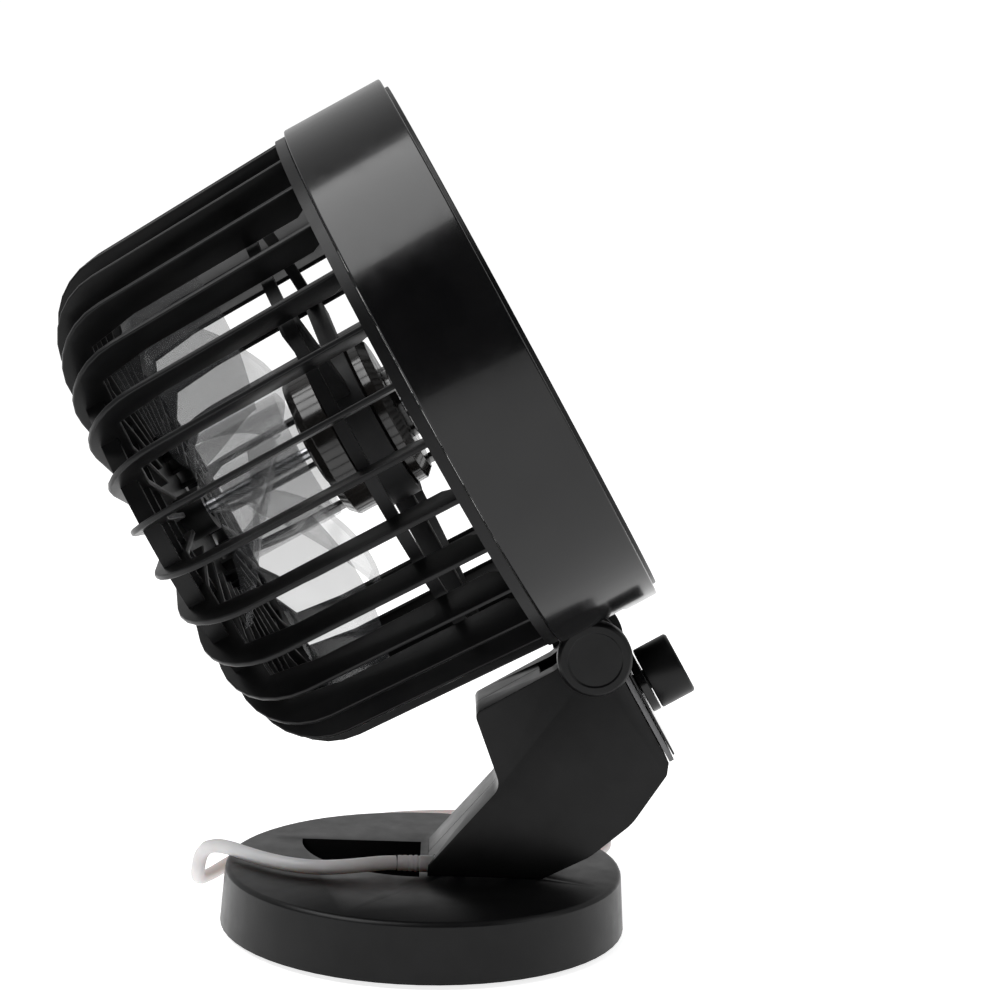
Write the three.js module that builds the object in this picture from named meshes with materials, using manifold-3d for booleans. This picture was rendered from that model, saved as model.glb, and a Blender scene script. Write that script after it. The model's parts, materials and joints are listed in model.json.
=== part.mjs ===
// Small twin-rotor desk fan, in millimetres, +Z up, front towards -Y.
// Origin: middle of the anti-slip pad's underside, on the standing surface.
// Driving dimensions come first; every other place and fit is worked out from them.
import * as THREE from 'three';
import Module from 'manifold-3d';
import { mergeVertices } from 'three/addons/utils/BufferGeometryUtils.js';

const wasm = await Module();
wasm.setup();

// ---------- driving dimensions ----------
const GAP = 0.3; // between pieces that touch
const RUN = 0.4; // radial clearance of a turning fit
const TILT = 30.5; // degrees that the fan axis points up at rest
const BASE_R = 50; // top edge of the base
const BASE_FLARE = 1; // how much wider the base is at its foot
const BASE_H = 15.4; // standing surface to base top
const BASE_WALL = 1.8;
const BASE_CHAMFER = 1.1;
const PAD_T = 1.5;
const PLATE_T = 1.5;
const POCKET_R = 32; // quarter-round pocket behind the arm
const POCKET_EDGE = 19; // its straight edge, from the middle plane
const POCKET_FLOOR = 5; // height of its floor
const BALLAST_T = 5.5;
const ARM_W = 26;
const ARM_WALL = 2.4;
const PIVOT = { y: -40.1, z: 72.1 };
const BOSS_R = 7.4;
const HUB_R = 9.2; // round caps on the pivot
const HUB_T = 5.2;
const AXLE_R = 2.5;
const TONGUE_W = 12;
const FACE_AHEAD = 5.1; // arm's front face, ahead of the pivot
const TRIM_T = 1.2;
const GLOSS_T = 0.5;
const PANEL_TOP = 2.1; // above the pivot, square to the axis
const PANEL_LEN = 34.5;
const KNOB_R = 8.1;
const KNOB_H = 9.3;
const COLLAR_H = 2.2;
const KNOB_DOWN = 14.1; // knob's middle, below the pivot, square to the axis
const PIVOT_DROP = 5.16; // pivot below the outside of the band
const PIVOT_BACK = 20.95; // pivot behind the front rim
const BAND_R = 71.4;
const BAND_W = 26.2;
const BAND_WALL = 2.2;
const NOTCH_SIDE = 2; // room beside the pivot caps in the band's notch
const NOTCH_FRONT = -9;
const HEAD_D = 98; // front rim to the rear face
const REAR_TAPER = 2.8; // how much slimmer the grille is at its rear than the band
const CORNER = 19; // round corner at the rear of the grille
const RIBS = 30;
const RIB_T = 1.4;
const RIB_DEPTH = 8;
const FIRST_RIB = 6; // degrees
const DISC_R = 26; // solid middle of the rear grille
const SHAFT_R = 1.5;
const MOTOR_R = 19.5;
const MOTOR_FRONT = -34;
const MOTOR_REAR = -57;
const BLADES = 5;
const TIP_GAP = 3; // blade tip to what surrounds it
const HUB_ROTOR_R = 17;
const BLADE_T = 1.5;
const CORD_D = 3.6;
const EXIT_X = -9.5;

// ---------- helpers ----------
const RAD = Math.PI / 180;

function clean(geo) {
  const g = geo.clone();
  g.deleteAttribute('normal');
  g.deleteAttribute('uv');
  return mergeVertices(g, 1e-4);
}

function solid(geo) {
  const g = clean(geo);
  const vertProperties = new Float32Array(g.attributes.position.array);
  const triVerts = new Uint32Array(g.index.array);
  return new wasm.Manifold(new wasm.Mesh({ numProp: 3, vertProperties, triVerts }));
}

function geometryOf(man) {
  const mesh = man.getMesh();
  const geo = new THREE.BufferGeometry();
  geo.setAttribute('position', new THREE.BufferAttribute(new Float32Array(mesh.vertProperties), 3));
  geo.setIndex(new THREE.BufferAttribute(new Uint32Array(mesh.triVerts), 1));
  geo.computeVertexNormals();
  return geo;
}

const join = (list) => list.reduce((a, b) => a.add(b));
const cut = (body, list) => list.reduce((a, b) => a.subtract(b), body);

function box(x0, x1, y0, y1, z0, z1) {
  const geo = new THREE.BoxGeometry(x1 - x0, y1 - y0, z1 - z0);
  geo.translate((x0 + x1) / 2, (y0 + y1) / 2, (z0 + z1) / 2);
  return solid(geo);
}

// round bar along Z between two heights
function bar(r, z0, z1, x = 0, y = 0, sides = 32) {
  const geo = new THREE.CylinderGeometry(r, r, z1 - z0, sides);
  geo.rotateX(Math.PI / 2);
  geo.translate(x, y, (z0 + z1) / 2);
  return solid(geo);
}

// round bar along X
function barX(r, x0, x1, y, z, sides = 32) {
  const geo = new THREE.CylinderGeometry(r, r, x1 - x0, sides);
  geo.rotateZ(Math.PI / 2);
  geo.translate((x0 + x1) / 2, y, z);
  return solid(geo);
}

// closed profile of [radius, height] points, turned about Z
function turned(points, sides = 64) {
  const list = points.map(([r, z]) => new THREE.Vector2(r, z));
  const onAxis = points[0][0] === 0 && points[points.length - 1][0] === 0;
  if (!onAxis) list.push(list[0].clone());
  const geo = new THREE.LatheGeometry(list, sides);
  geo.rotateX(Math.PI / 2);
  const body = solid(geo);
  if (body.volume() > 0) return body;
  const flipped = clean(geo);
  const idx = flipped.index.array;
  for (let i = 0; i < idx.length; i += 3) {
    const keep = idx[i];
    idx[i] = idx[i + 1];
    idx[i + 1] = keep;
  }
  return solid(flipped);
}

// outline in the Y-Z plane, given thickness between x0 and x1
function slabX(shape, x0, x1, curveSegments = 8) {
  const geo = new THREE.ExtrudeGeometry(shape, { depth: x1 - x0, bevelEnabled: false, curveSegments });
  geo.applyMatrix4(new THREE.Matrix4().set(0, 0, 1, x0, 1, 0, 0, 0, 0, 1, 0, 0, 0, 0, 0, 1));
  return solid(geo);
}

// outline in the X-Y plane, between z0 and z1
function slabZ(shape, z0, z1, curveSegments = 24) {
  const geo = new THREE.ExtrudeGeometry(shape, { depth: z1 - z0, bevelEnabled: false, curveSegments });
  geo.translate(0, 0, z0);
  return solid(geo);
}

// polygon with rounded corners: points are [u, v, corner radius]
function rounded(points) {
  const shape = new THREE.Shape();
  const n = points.length;
  points.forEach(([u, v, r = 0], i) => {
    const here = new THREE.Vector2(u, v);
    const prev = new THREE.Vector2(...points[(i + n - 1) % n].slice(0, 2)).sub(here).normalize();
    const next = new THREE.Vector2(...points[(i + 1) % n].slice(0, 2)).sub(here).normalize();
    const half = Math.acos(THREE.MathUtils.clamp(prev.dot(next), -1, 1)) / 2;
    const back = r / Math.tan(half);
    const a = here.clone().addScaledVector(prev, back);
    const b = here.clone().addScaledVector(next, back);
    if (i === 0) shape.moveTo(a.x, a.y);
    else shape.lineTo(a.x, a.y);
    if (r > 0) shape.quadraticCurveTo(u, v, b.x, b.y);
  });
  shape.closePath();
  return shape;
}

// ---------- head frame: x sideways, y up, z forward along the fan axis ----------
// its origin is the middle of the front rim; the pivot sits at (0, PY, PZ)
const PY = -(BAND_R + PIVOT_DROP);
const PZ = -PIVOT_BACK;
const headFrame = new THREE.Matrix4().makeRotationX((90 - TILT) * RAD);
const toPivot = new THREE.Vector3(0, PY, PZ).applyMatrix4(headFrame);
headFrame.setPosition(0, PIVOT.y - toPivot.y, PIVOT.z - toPivot.z);

function local(y, z) {
  const p = new THREE.Vector3(0, y, z).applyMatrix4(headFrame);
  return [p.y, p.z];
}

function fromHead(body) {
  return body.transform(headFrame.elements);
}

// ---------- pieces ----------
const parts = new THREE.Group();
parts.name = 'desk_fan';

function add(name, body, color, roughness, metalness = 0) {
  const material = new THREE.MeshStandardMaterial({ color, roughness, metalness });
  const mesh = new THREE.Mesh(geometryOf(body), material);
  mesh.name = name;
  parts.add(mesh);
}

const BLACK = 0x101011;
const GLOSS = 0x08080a;
const STEEL = 0xb9bcc0;

// --- base ---
const footScrews = [[-6.5, -9], [6.5, -9], [-6.5, -23], [6.5, -23]];
const screwCircle = BASE_R - 10;
const plateScrews = [35, 145, 215, 325].map((a) => [
  screwCircle * Math.cos(a * RAD), screwCircle * Math.sin(a * RAD),
]);
const plateTop = PAD_T + GAP + PLATE_T;
const skirt = 0.9; // how far the shell stays off the standing surface
const innerR = BASE_R - BASE_WALL;
const innerTop = BASE_H - BASE_WALL;

function pocketShape(grow) {
  const shape = new THREE.Shape();
  const r = POCKET_R + grow;
  const edge = POCKET_EDGE + grow;
  shape.moveTo(edge, 1 - grow);
  shape.lineTo(edge, Math.sqrt(r * r - grow * grow));
  const start = Math.atan2(Math.sqrt(r * r - grow * grow), grow);
  const end = Math.PI - Math.asin((1 - grow) / r);
  shape.absarc(POCKET_EDGE, 0, r, start, end, false);
  shape.closePath();
  return shape;
}

function baseShell() {
  const outer = turned([
    [0, skirt], [BASE_R + BASE_FLARE, skirt], [BASE_R, BASE_H - BASE_CHAMFER],
    [BASE_R - BASE_CHAMFER * 0.3, BASE_H - BASE_CHAMFER * 0.3],
    [BASE_R - BASE_CHAMFER, BASE_H], [0, BASE_H],
  ], 64);
  const hollow = turned([[0, -1], [innerR, -1], [innerR, innerTop], [0, innerTop]], 48);
  const posts = plateScrews.map(([x, y]) => bar(3.2, plateTop + GAP, innerTop + 0.5, x, y, 14));
  const walls = slabZ(pocketShape(1.4), POCKET_FLOOR - 1.4, innerTop + 0.5, 12);
  const shell = join([outer.subtract(hollow), walls, ...posts]);
  const holes = plateScrews.map(([x, y]) => bar(1.2 + GAP, 0, 11, x, y, 10));
  const feet = footScrews.map(([x, y]) => bar(1.5 + GAP, 5, BASE_H + 1, x, y, 12));
  return cut(shell, [slabZ(pocketShape(0), POCKET_FLOOR, BASE_H + 5, 16), ...holes, ...feet]);
}
add('base_shell', baseShell(), BLACK, 0.42);
add('anti_slip_pad', bar(innerR - 3, 0, PAD_T, 0, 0, 48), 0x17171a, 0.95);

function basePlate() {
  const disc = bar(innerR - GAP - 0.2, PAD_T + GAP, plateTop, 0, 0, 48);
  return cut(disc, plateScrews.map(([x, y]) => bar(2.6 + GAP, 0, 8, x, y, 14)));
}
add('base_plate', basePlate(), 0x1b1b1d, 0.6);

function ballast() {
  const z0 = plateTop + GAP;
  const disc = bar(innerR - 3, z0, z0 + BALLAST_T, 0, 0, 64);
  const clear = box(-60, 60, -1 - GAP, 60, 0, 30);
  const posts = plateScrews.map(([x, y]) => bar(4, 0, 30, x, y, 12));
  return cut(disc, [clear, ...posts]);
}
add('ballast_plate', ballast(), 0x77797c, 0.5, 0.9);

function plateScrew([x, y]) {
  return bar(2.6, PAD_T + GAP, plateTop, x, y, 12).add(bar(1.2, plateTop - 0.2, 9.5, x, y, 8));
}
plateScrews.forEach((at, i) => add(`plate_screw_${i + 1}`, plateScrew(at), STEEL, 0.35, 0.9));

function footScrew([x, y]) {
  const head = bar(2.8, innerTop - GAP - 1.7, innerTop - GAP, x, y, 12);
  return head.add(bar(1.5, innerTop - GAP - 0.2, BASE_H + 6, x, y, 8));
}
footScrews.forEach((at, i) => add(`foot_screw_${i + 1}`, footScrew(at), STEEL, 0.35, 0.9));

// --- arm: outline in the Y-Z plane ---
const footZ = BASE_H + GAP;
const faceZ = PZ + FACE_AHEAD - TRIM_T - GAP;
const panelTopY = PY + PANEL_TOP;
const panelLowY = panelTopY - PANEL_LEN;
const faceTop = local(panelTopY, faceZ);
const faceLow = local(panelLowY, faceZ);
const lip = 0.8;

const armPoints = [
  [-1, footZ], [-1.1, 18.2, 0.4], [-18.4, 38.6, 4.5], [-11.3, 56.8, 2], [-21, 62.6], [-30.5, 68.2],
  [-36, 73], faceTop, faceLow, [faceLow[0] + 0.3, faceLow[1] - 3.2, 2], [-51.2, 30.2, 14],
  [-41.1, 21.6, 14], [-29.5, footZ],
];
const cavityPoints = [
  [-13.5, 26.5, 2], [-22.5, 39.5, 5], [-17, 54, 3], [-30.5, 61.2],
  local(PY - 10.8, faceZ - 2.4), local(panelLowY + 0.5, faceZ - 2.4), [-48.6, 31.5, 8],
  [-38.5, 24.6, 5], [-29, 24, 2],
];
const armOutline = rounded(armPoints);
const cavityOutline = rounded(cavityPoints);
const half = ARM_W / 2;
const bossCut = barX(BOSS_R + RUN, -TONGUE_W / 2 - 0.6, TONGUE_W / 2 + 0.6, PIVOT.y, PIVOT.z, 32);
const axleCut = barX(AXLE_R + GAP, -40, 40, PIVOT.y, PIVOT.z, 16);
const glandZ = BASE_H + 0.6 + CORD_D / 2;

function tongueSlot() {
  const w = TONGUE_W / 2 + 0.6;
  return fromHead(box(-w, w, PY, PY + 20, PZ - 14, PZ + 14));
}

function armShell(side) {
  const x0 = side < 0 ? -half : GAP / 2;
  const x1 = side < 0 ? -GAP / 2 : half;
  const c0 = side < 0 ? -half + ARM_WALL : GAP / 2 - 1;
  const c1 = side < 0 ? 1 - GAP / 2 : half - ARM_WALL;
  const body = slabX(armOutline, x0, x1, 6).add(barX(BOSS_R, x0, x1, PIVOT.y, PIVOT.z, 32));
  const screws = footScrews.map(([x, y]) => bar(1.5 + GAP, 10, BASE_H + 6.5, x, y, 12));
  const cord = new THREE.CylinderGeometry(2.1 + GAP, 2.1 + GAP, 40, 14);
  cord.translate(EXIT_X, 0, glandZ);
  const gland = solid(cord);
  const spindle = knobBar(4 + GAP, faceZ - 20, faceZ + 5, 24);
  const trims = [slabX(cavityOutline, c0, c1, 3), bossCut, tongueSlot(), axleCut, gland, spindle];
  return cut(body, [...trims, ...screws]);
}

// round bar along the fan axis at the knob's middle, in world places
function knobBar(r, z0, z1, sides = 40) {
  return fromHead(bar(r, z0, z1, 0, PY - KNOB_DOWN, sides));
}
add('arm_shell_left', armShell(-1), BLACK, 0.4);
add('arm_shell_right', armShell(1), BLACK, 0.4);

function armPlate(inset, z0, z1, r) {
  const w = half - inset;
  const shape = rounded([
    [-w, panelLowY + inset, r], [w, panelLowY + inset, r],
    [w, panelTopY - inset, r], [-w, panelTopY - inset, r],
  ]);
  const boss = barX(BOSS_R + RUN, -half - 1, half + 1, PIVOT.y, PIVOT.z, 40);
  const holes = [knobBar(4 + GAP, z0 - 1, z1 + 1, 24), boss];
  return cut(fromHead(slabZ(shape, z0, z1, 4)), holes);
}
const trimZ = faceZ + GAP;
add('arm_trim', armPlate(0, trimZ, trimZ + TRIM_T, 0.6), 0x8b8d90, 0.4, 0.6);
const glossZ = trimZ + TRIM_T + GAP;
add('control_panel', armPlate(lip, glossZ, glossZ + GLOSS_T, 1.2), GLOSS, 0.12);

const collarZ = glossZ + GLOSS_T + GAP;
const collarBore = knobBar(4 + GAP, collarZ - 1, collarZ + COLLAR_H + 1, 24);
const collar = knobBar(KNOB_R, collarZ, collarZ + COLLAR_H).subtract(collarBore);
add('knob_collar', collar, GLOSS, 0.18);

const knobZ = collarZ + COLLAR_H + GAP;
const knobY = PY - KNOB_DOWN;
const knobTurn = new THREE.Matrix4().makeTranslation(0, knobY, 0);

function knob() {
  const r = KNOB_R;
  const b = 0.5;
  const top = knobZ + KNOB_H;
  const cap = turned([
    [0, knobZ], [r - 0.2, knobZ], [r, knobZ + 0.3], [r, top - b], [r - b, top], [0, top],
  ], 36);
  const groove = box(-0.45, 0.45, r - 4.5, r - 1.2, top - 0.5, top + 1);
  const stem = bar(2.6, collarZ - 7, knobZ + 0.5, 0, 0, 24);
  return fromHead(cap.subtract(groove).add(stem).transform(knobTurn.elements));
}
add('speed_knob', knob(), BLACK, 0.35);

function switchBody() {
  const can = bar(5, trimZ - 14.5, trimZ - 8.7, 0, 0, 24);
  const bore = bar(2.6 + GAP, trimZ - 7.6, 40, 0, 0, 24);
  const nut = bar(3.7, trimZ - 9, glossZ + GLOSS_T, 0, 0, 24).subtract(bore);
  return fromHead(can.add(nut).transform(knobTurn.elements));
}
add('speed_switch', switchBody(), 0x5c5e61, 0.45, 0.7);

function board() {
  const y = knobY;
  const plate = box(-9, 9, y - 9.5, y + 3.5, trimZ - 16.4, trimZ - 14.8);
  const chip = box(-4, 2, y - 8, y - 4, trimZ - 17.9, trimZ - 16.3);
  return fromHead(plate.add(chip));
}
add('control_board', board(), 0x1d5a33, 0.5);

// --- pivot ---
function pivotAxle() {
  return barX(AXLE_R, -half + 0.4, half - 0.4, PIVOT.y, PIVOT.z, 28);
}
add('pivot_axle', pivotAxle(), STEEL, 0.3, 0.9);

function pivotCap(side) {
  const b = 0.7;
  const profile = [[0, 0], [HUB_R, 0], [HUB_R, HUB_T - b], [HUB_R - b, HUB_T], [0, HUB_T]];
  const turn = new THREE.Matrix4().makeRotationY(side * Math.PI / 2);
  turn.setPosition(side * (half + GAP), PIVOT.y, PIVOT.z);
  return turned(profile, 32).transform(turn.elements);
}
add('pivot_cap_left', pivotCap(-1), BLACK, 0.4);
add('pivot_cap_right', pivotCap(1), BLACK, 0.4);

// --- head: everything below is drawn in the head frame ---
const bandIn = BAND_R - BAND_WALL;
const saddleOut = bandIn - 0.8;
const saddleIn = saddleOut - 2.6;

const notchX = half + GAP + HUB_T + NOTCH_SIDE;

function band() {
  const e = 0.5;
  const ring = turned([
    [BAND_R - e, 0], [BAND_R, -e], [BAND_R, -BAND_W], [bandIn, -BAND_W], [bandIn, 0],
  ], 72);
  const notch = box(-notchX, notchX, -BAND_R - 5, -bandIn + 12, -BAND_W - 1, NOTCH_FRONT);
  return ring.subtract(notch);
}
add('head_band', fromHead(band()), GLOSS, 0.14);

function saddle() {
  const z0 = -BAND_W + 1;
  const z1 = NOTCH_FRONT + 4;
  const ring = turned([[saddleIn, z0], [saddleOut, z0], [saddleOut, z1], [saddleIn, z1]], 72);
  const sector = box(-notchX - 5, notchX + 5, -80, -40, z0 - 1, z1 + 1);
  const w = TONGUE_W / 2;
  const neck = box(-w, w, PY, -saddleIn - 0.5, PZ - 4.6, PZ + 4.6);
  const eye = barX(BOSS_R - 0.6, -w, w, PY, PZ, 36);
  const hole = barX(AXLE_R + RUN, -w - 1, w + 1, PY, PZ, 28);
  const ribs = [-1, 1].map((s) => box(s * 5 - 1, s * 5 + 1, -saddleIn - 0.5, -saddleIn + 1.6, z0, z1));
  return join([ring.intersect(sector), neck, eye, ...ribs]).subtract(hole);
}
add('tilt_bracket', fromHead(saddle()), 0x0c0c0d, 0.6);

// screws that hold the bracket to the band, either side of the notch
function bracketScrew(side) {
  const turn = new THREE.Matrix4().makeRotationZ((270 + side * 19.2) * RAD);
  turn.multiply(new THREE.Matrix4().makeRotationY(Math.PI / 2));
  const head = bar(2.2, saddleIn - 1.6, saddleIn - GAP, 0, 0, 16);
  return head.transform(turn.elements).translate([0, 0, NOTCH_FRONT - 8]);
}
add('bracket_screw_left', fromHead(bracketScrew(-1)), STEEL, 0.35, 0.9);
add('bracket_screw_right', fromHead(bracketScrew(1)), STEEL, 0.35, 0.9);

function ringOf(r0, r1, z0, z1, sides = 72) {
  return turned([[r0, z0], [r1, z0], [r1, z1], [r0, z1]], sides);
}

function frontGuard() {
  const out = bandIn - GAP;
  const z1 = 1;
  const rim = turned([[out - 2.6, -4], [out, -4], [out, z1], [out - 2.6, z1]], 60);
  const rings = [ringOf(40, 41.6, -2, z1 - 0.6, 60)];
  const cap = turned([[0, -2.6], [15, -2.6], [15, z1], [0, z1]], 30);
  const spokes = [];
  for (let i = 0; i < RIBS; i += 1) {
    const geo = new THREE.BoxGeometry(out - 15, RIB_T, 3);
    geo.translate((out + 12.6) / 2, 0, -0.9);
    geo.rotateZ((FIRST_RIB + i * 360 / RIBS) * RAD);
    spokes.push(solid(geo));
  }
  return join([rim, cap, ...rings, ...spokes]);
}
add('front_guard', fromHead(frontGuard()), BLACK, 0.35);

// outer edge of one rib, seen along the head: r against z
const REAR_R = BAND_R - REAR_TAPER;
const gridR = BAND_R - 1.2;
const gridFront = -BAND_W - GAP;

function ribShape(offset) {
  const shape = new THREE.Shape();
  const far = -HEAD_D + offset;
  const c = Math.max(CORNER - offset, 2);
  shape.moveTo(DISC_R - 4, far);
  return { shape, far, c };
}

function rib() {
  const { shape, far, c } = ribShape(0);
  shape.lineTo(REAR_R - c, far);
  shape.quadraticCurveTo(REAR_R - c * 0.28, far + c * 0.1, REAR_R - c * 0.08, far + c * 0.72);
  shape.lineTo(gridR - 0.35, gridFront - 1);
  shape.lineTo(gridR - RIB_DEPTH * 0.55, gridFront - 1);
  shape.lineTo(REAR_R - RIB_DEPTH, far + c + 4);
  shape.quadraticCurveTo(REAR_R - RIB_DEPTH, far + 6, REAR_R - c - 5, far + 5);
  shape.lineTo(DISC_R - 4, far + 4);
  shape.closePath();
  const geo = new THREE.ExtrudeGeometry(shape, { depth: RIB_T, bevelEnabled: false, curveSegments: 4 });
  geo.translate(0, 0, -RIB_T / 2);
  geo.rotateX(Math.PI / 2);
  return geo;
}

function rearGrille() {
  const rimDepth = 2.6;
  const rim = turned([
    [gridR - 4.2, gridFront - rimDepth], [gridR, gridFront - rimDepth],
    [gridR, gridFront], [gridR - 4.2, gridFront],
  ], 56);
  const far = -HEAD_D;
  const disc = turned([
    [0, far + 1], [DISC_R, far + 1], [DISC_R, far + 3.6], [0, far + 3.6],
  ], 32);
  const bearing = ringOf(2.6 + GAP, 6, far + 3.5, -87.5, 24);
  const list = [];
  for (let i = 0; i < RIBS; i += 1) {
    const geo = rib();
    geo.rotateZ((FIRST_RIB + i * 360 / RIBS) * RAD);
    list.push(solid(geo));
  }
  return join([rim, disc, bearing, ...list]);
}
add('rear_grille', fromHead(rearGrille()), BLACK, 0.36);

// --- drive: a frame between the rotors holds both motors back to back ---
const spokeZ = -44;

function motorFrame() {
  const hoopOut = gridR - 7;
  const hoop = ringOf(hoopOut - 2, hoopOut, spokeZ - 4, spokeZ + 4, 60);
  const cup = ringOf(MOTOR_R + GAP, MOTOR_R + 2, spokeZ - 5, spokeZ + 5, 40);
  const web = bar(MOTOR_R + 1, spokeZ - 1, spokeZ + 1, 0, 0, 48);
  const spokes = [30, 150, 270].map((a) => {
    const geo = new THREE.BoxGeometry(hoopOut - MOTOR_R - 1.6, 5, 5);
    geo.translate((hoopOut + MOTOR_R + 0.4) / 2 - 0.4, 0, spokeZ);
    geo.rotateZ(a * RAD);
    return solid(geo);
  });
  return join([hoop, cup, web, ...spokes]);
}
add('motor_frame', fromHead(motorFrame()), 0x0d0d0e, 0.45);

function motorCan(z0, z1, shaftEnd) {
  const forward = shaftEnd > z1;
  const e = 0.8;
  const can = turned([
    [0, z0], [MOTOR_R - e, z0], [MOTOR_R, z0 + e], [MOTOR_R, z1 - e], [MOTOR_R - e, z1], [0, z1],
  ], 36);
  const nose = forward ? bar(9, z1 - 0.5, z1 + 1.4, 0, 0, 24) : bar(9, z0 - 1.4, z0 + 0.5, 0, 0, 24);
  return can.add(nose).subtract(bar(SHAFT_R + RUN, z0 - 3, z1 + 3, 0, 0, 12));
}
const canFront = [spokeZ + 1 + GAP, MOTOR_FRONT];
const canRear = [MOTOR_REAR, spokeZ - 1 - GAP];
add('front_motor', fromHead(motorCan(...canFront, 0)), 0x16161a, 0.22, 0.3);
add('rear_motor', fromHead(motorCan(...canRear, -90)), 0x16161a, 0.22, 0.3);

// one blade as a closed twisted sheet; spin is +1 or -1
function blade(r0, r1, z0, z1, spin) {
  const nr = 5;
  const nc = 5;
  const mid = (z0 + z1) / 2;
  const verts = [];
  const at = (i, j, side) => {
    const k = i / (nr - 1);
    const c = j / (nc - 1) - 0.5;
    const r = THREE.MathUtils.lerp(r0, r1, k);
    const pitch = THREE.MathUtils.lerp(52, 30, k) * RAD;
    const chord = THREE.MathUtils.lerp(22, 47, Math.sin(k * Math.PI / 2)) * (k > 0.9 ? 0.93 : 1);
    const camber = 3.2 * (0.25 - c * c) * 4;
    const u = c * chord;
    const w = camber * 0.6 + side * BLADE_T / 2;
    const tangent = u * Math.cos(pitch) - w * Math.sin(pitch);
    const axial = u * Math.sin(pitch) + w * Math.cos(pitch);
    const a = spin * (tangent / r + 0.1 * k);
    return [r * Math.cos(a), r * Math.sin(a), THREE.MathUtils.clamp(mid + axial - 1.2, z0, z1)];
  };
  for (const side of [-1, 1]) {
    for (let i = 0; i < nr; i += 1) {
      for (let j = 0; j < nc; j += 1) verts.push(...at(i, j, side));
    }
  }
  const id = (i, j, s) => s * nr * nc + i * nc + j;
  const tris = [];
  const quad = (a, b, c, d) => tris.push(a, b, c, a, c, d);
  for (let i = 0; i < nr - 1; i += 1) {
    for (let j = 0; j < nc - 1; j += 1) {
      quad(id(i, j, 0), id(i, j + 1, 0), id(i + 1, j + 1, 0), id(i + 1, j, 0));
      quad(id(i, j, 1), id(i + 1, j, 1), id(i + 1, j + 1, 1), id(i, j + 1, 1));
    }
    quad(id(i, 0, 0), id(i + 1, 0, 0), id(i + 1, 0, 1), id(i, 0, 1));
    quad(id(i, nc - 1, 0), id(i, nc - 1, 1), id(i + 1, nc - 1, 1), id(i + 1, nc - 1, 0));
  }
  for (let j = 0; j < nc - 1; j += 1) {
    quad(id(0, j, 0), id(0, j, 1), id(0, j + 1, 1), id(0, j + 1, 0));
    quad(id(nr - 1, j, 0), id(nr - 1, j + 1, 0), id(nr - 1, j + 1, 1), id(nr - 1, j, 1));
  }
  if (spin < 0) {
    for (let i = 0; i < tris.length; i += 3) tris.splice(i, 3, tris[i], tris[i + 2], tris[i + 1]);
  }
  return new wasm.Manifold(new wasm.Mesh({
    numProp: 3, vertProperties: new Float32Array(verts), triVerts: new Uint32Array(tris),
  }));
}

// the front rotor's cup opens backwards over its motor, the rear one's opens forwards
function impeller(z0, z1, spin, opensBack) {
  const floor = 2;
  const chamfer = 1.5;
  const r = HUB_ROTOR_R;
  const backR = opensBack ? r : r - chamfer;
  const frontR = opensBack ? r - chamfer : r;
  const cup = turned([
    [0, z0], [backR, z0], [r, z0 + chamfer], [r, z1 - chamfer], [frontR, z1], [0, z1],
  ], 30);
  const hollow = opensBack ? [z0 - 1, z1 - floor] : [z0 + floor, z1 + 1];
  const post = opensBack ? [z0 + 2, z1 - 1] : [z0 + 1, z1 - 2];
  const hub = cup.subtract(bar(r - 2.2, ...hollow, 0, 0, 30)).add(bar(4, ...post, 0, 0, 20));
  const tip = (opensBack ? saddleIn : REAR_R - RIB_DEPTH) - TIP_GAP;
  const hubCore = bar(r - 1, z0, z1, 0, 0, 30);
  const list = [];
  for (let i = 0; i < BLADES; i += 1) {
    const turn = new THREE.Matrix4().makeRotationZ((i * 360 / BLADES + (opensBack ? 20 : 50)) * RAD);
    list.push(blade(r - 1.2, tip, z0 + 0.6, z1 - 0.6, spin).transform(turn.elements).subtract(hubCore));
  }
  return join([hub, ...list]).subtract(bar(SHAFT_R + GAP, z0 - 1, z1 + 1, 0, 0, 12));
}
const frontRotor = [-29.6, -6.5];
const rearRotor = [-85, -59.4];
add('front_impeller', fromHead(impeller(...frontRotor, 1, true)), 0x6d7076, 0.2);
add('rear_impeller', fromHead(impeller(...rearRotor, -1, false)), 0x6d7076, 0.2);

function shaft(z0, z1) {
  return bar(SHAFT_R, z0, z1, 0, 0, 12);
}
add('front_shaft', fromHead(shaft(canFront[0] + 1, frontRotor[1] - 0.3)), STEEL, 0.25, 0.95);
add('rear_shaft', fromHead(shaft(rearRotor[0] - 7, canRear[1] - 1)), STEEL, 0.25, 0.95);

const bearing = ringOf(SHAFT_R + GAP, 2.6, -HEAD_D + 5, -HEAD_D + 9.5, 24);
add('rear_bearing', fromHead(bearing), 0xb08d4a, 0.4, 0.8);

// --- strain relief, cord, coil and plug ---
const glandBack = 3.5; // how far the boot reaches inside the arm
const bootL = 10;

function gland() {
  const r = 2.1;
  const profile = [[0, 0], [r, 0], [r, bootL * 0.6], [CORD_D / 2 + 0.1, bootL], [0, bootL]];
  const turn = new THREE.Matrix4().makeRotationX(-Math.PI / 2);
  turn.setPosition(EXIT_X, -glandBack, glandZ);
  return turned(profile, 20).transform(turn.elements);
}

const cordR = CORD_D / 2;
const tableZ = cordR + 0.2;
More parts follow.
